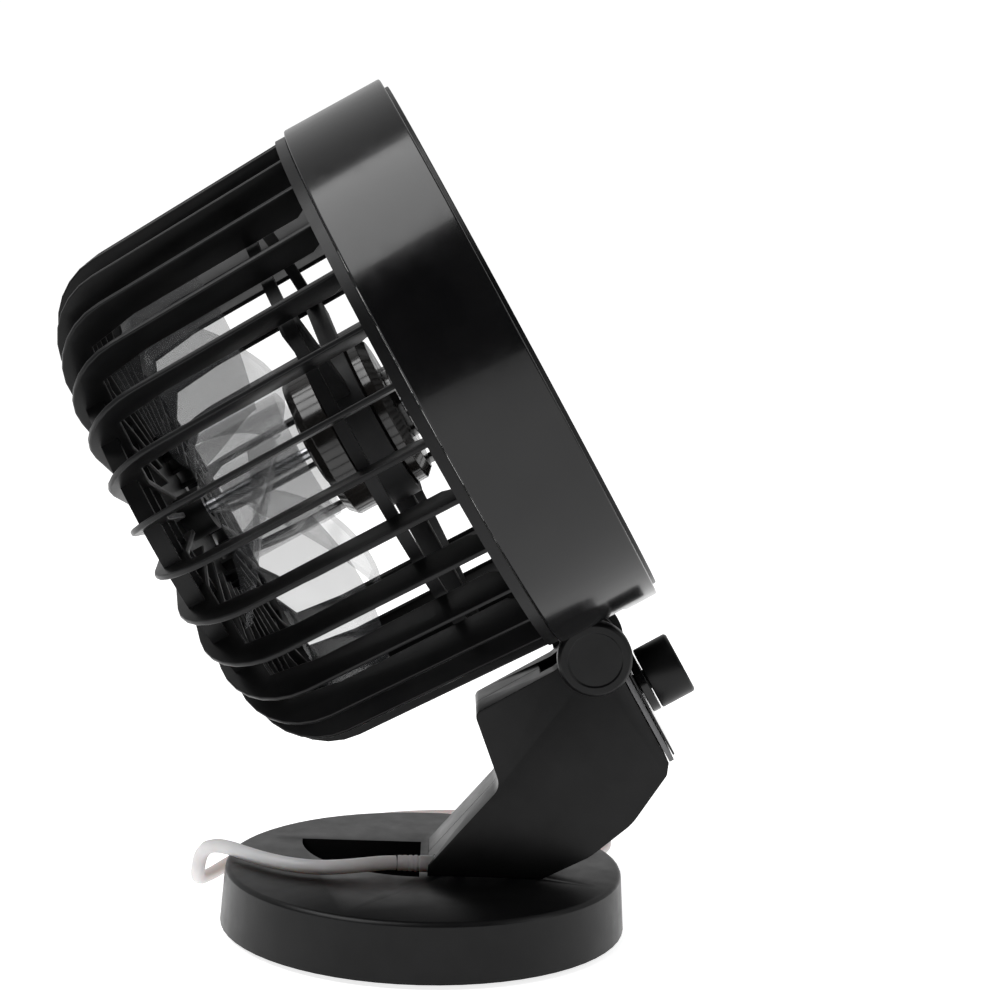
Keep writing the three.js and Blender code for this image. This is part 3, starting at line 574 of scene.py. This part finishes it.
ring(bm, can_r + 0.3, can_r + 2, cup_low, cup_high, 72)
ring(bm, 1.9, can_r + 1, middle - 1, middle + 1, 72)
keep(bm, "motor_carrier", "head", "inner_black", "motor_frame")

# %% [markdown]
# ## Mouldings that the model already shapes well
# The arm, base, trim and knob are cut and drilled solids whose form is right as packed. What
# they lack is the small radius that every mould leaves. So each is copied, its loose
# triangles are merged back into flat faces, and the crisp outer edges are rolled.

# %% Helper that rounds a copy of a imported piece
def rolled(name, node, body, slot, radius, chosen=lambda a, b: True, segments=2):
    """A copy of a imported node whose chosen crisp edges, told by their two ends in mm, are rounded."""
    bm = bmesh.new()
    bm.from_mesh(frame["nodes"][node].data)
    bmesh.ops.transform(bm, matrix=Matrix.Scale(1 / MM, 4), verts=bm.verts)
    bmesh.ops.remove_doubles(bm, verts=bm.verts, dist=0.003)
    bmesh.ops.dissolve_limit(bm, angle_limit=math.radians(0.6), verts=bm.verts, edges=bm.edges)
    crisp = [e for e in bm.edges if e.is_manifold and e.calc_face_angle_signed(0) > math.radians(40)]
    crisp = [e for e in crisp if chosen(e.verts[0].co, e.verts[1].co)]
    bmesh.ops.bevel(bm, geom=crisp, offset=radius, affect="EDGES", segments=segments, profile=0.5,
                    material=-1, clamp_overlap=True)
    return keep(bm, name, body, slot, node, place=UPRIGHT)


# %% Arm, bracket, trim and panel
arm_low, arm_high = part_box("arm_shell_left")
ARM_HALF = -arm_low.x / MM


def on_flank(a, b):
    return min(abs(a.x), abs(b.x)) > ARM_HALF - 0.05


rolled("arm_left", "arm_shell_left", "stand", "satin_black", 0.5, on_flank, segments=3)
rolled("arm_right", "arm_shell_right", "stand", "satin_black", 0.5, on_flank, segments=3)
rolled("tilt_fork", "tilt_bracket", "head", "inner_black", 0.25)
rolled("trim_strip", "arm_trim", "stand", "trim_grey", 0.2)
rolled("gloss_panel", "control_panel", "stand", "gloss_black", 0.12)
rolled("speed_dial", "speed_knob", "knob", "satin_black", 0.3)

# %% Base with its pocket
base_low, base_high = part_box("base_shell")
BASE_TOP, INSIDE_EDGE_R = base_high.z / MM, 48.5


def on_rim(a, b):
    at_top = min(a.z, b.z) > BASE_TOP - 0.05
    return at_top and max(math.hypot(a.x, a.y), math.hypot(b.x, b.y)) < INSIDE_EDGE_R


rolled("base_cover", "base_shell", "stand", "satin_black", 0.35, on_rim)

# %% [markdown]
# ## Turned pieces of the stand
# The pivot caps, the knob's collar, the pad and the boot of the lead are all round, so each is a
# profile spun on its own axis. The pad has grooves moulded in its underside, and the boot
# has the ribs that let it bend.

# %% Pivot caps
def frame_at(place, direction):
    """A frame whose Z axis points in a direction, for pieces that aren't on the fan axis."""
    lean = Vector((0, 0, 1)).rotation_difference(Vector(direction)).to_matrix().to_4x4()
    return Matrix.Translation(place) @ lean


pivot = Vector(joints["head_tilt"]["pos_m"])
for side, node in ((-1, "pivot_cap_left"), (1, "pivot_cap_right")):
    axis = frame_at(pivot, (side, 0, 0))
    low, high, cap_r = reach(node, axis)
    bm = bmesh.new()
    turn(bm, [(0, low), (cap_r, low), (cap_r, high - 1.1), (cap_r - 0.25, high - 0.45), (cap_r - 0.8, high),
              (cap_r - 2.4, high), (cap_r - 2.7, high - 0.3), (0, high - 0.3)], 96, closed=False)
    keep(bm, node.replace("cap", "cover"), "stand", "satin_black", node, place=axis, edge=0.12)

# %% Collar under the knob
knob_axis = frame_at(joints["knob_turn"]["pos_m"], joints["knob_turn"]["axis"])
low, high, collar_r = reach("knob_collar", knob_axis)
bm = bmesh.new()
ring(bm, 4.3, collar_r, low, high, 96)
keep(bm, "dial_collar", "stand", "gloss_black", "knob_collar", place=knob_axis, edge=0.25)

# %% Grooved pad underneath
low, high, pad_r = reach("anti_slip_pad", UPRIGHT)
profile = [(0, low + 0.3)]
for groove in range(6, 45, 6):
    profile += [(groove, low + 0.3), (groove + 0.4, low), (groove + 4.6, low), (groove + 5, low + 0.3)]
profile = [point for point in profile if point[0] < pad_r - 1]
profile += [(pad_r - 0.4, low), (pad_r, low + 0.4), (pad_r, high), (0, high)]
bm = bmesh.new()
turn(bm, profile, 96, closed=False)
keep(bm, "grip_pad", "stand", "pad_rubber", "anti_slip_pad", place=UPRIGHT)

# %% Boot of the lead
boot_low, boot_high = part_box("cord_gland")
boot_middle = (boot_low + boot_high) / 2
boot_axis = frame_at((boot_middle.x, boot_low.y, boot_middle.z), (0, 1, 0))
low, high, boot_r = reach("cord_gland", boot_axis)
wire_r = LEAD_D / 2 + 0.08
profile = [(0, low), (boot_r, low), (boot_r, low + 4.4)]
for rib in range(4):
    start = low + 4.6 + rib * 1.35
    taper = boot_r - (boot_r - wire_r) * (rib + 1) / 5
    profile += [(wire_r, start), (wire_r, start + 0.35), (taper, start + 0.5), (taper, start + 1.2)]
profile += [(wire_r, high), (0, high)]
bm = bmesh.new()
turn(bm, profile, 40, closed=False)
keep(bm, "lead_boot", "stand", "cord_grey", "cord_gland", place=boot_axis)

# %% [markdown]
# ## Plug
# A plain USB-A plug: a soft moulded grip with finger ridges, and a folded metal shell with
# its contact tongue inside. The grip is a cube scaled to size with all its edges rolled.

# %% Grip of the plug
low_corner, high_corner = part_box("usb_plug_body")
size, centre = (high_corner - low_corner) / MM, (high_corner + low_corner) / 2 / MM
bm = bmesh.new()
grip = bmesh.ops.create_cube(bm, size=1)["verts"]
bmesh.ops.scale(bm, vec=size, verts=grip)
bmesh.ops.subdivide_edges(bm, edges=[e for e in bm.edges if abs(e.verts[0].co.y - e.verts[1].co.y) > 1],
                          cuts=9, use_grid_fill=True)
for vert in bm.verts:
    stripe = round((vert.co.y / size.y + 0.5) * 10)
    if stripe in (3, 5, 7):
        vert.co.x *= 0.93
bmesh.ops.translate(bm, vec=centre, verts=bm.verts)
plug_grip = keep(bm, "plug_grip", "stand", "cord_grey", "usb_plug_body", place=UPRIGHT, edge=0.9, smooth=50)

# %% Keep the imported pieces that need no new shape
KEPT = {
    "inner_black": ["base_plate"],
    "ballast_steel": ["ballast_plate"],
    "screw_steel": ["plate_screw_1", "plate_screw_2", "plate_screw_3", "plate_screw_4", "foot_screw_1",
                    "foot_screw_2", "foot_screw_3", "foot_screw_4", "bracket_screw_left",
                    "bracket_screw_right", "pivot_axle", "front_shaft", "rear_shaft", "usb_plug_shell"],
    "switch_metal": ["speed_switch"],
    "board_green": ["control_board"],
    "bush_brass": ["rear_bearing"],
}
for slot, names in KEPT.items():
    for name in names:
        for held in frame["nodes"][name].material_slots:
            held.material = FINISHES[slot]
    print(slot, "on", len(names), "packed pieces")
usb_lead.data.materials.append(FINISHES["cord_grey"])
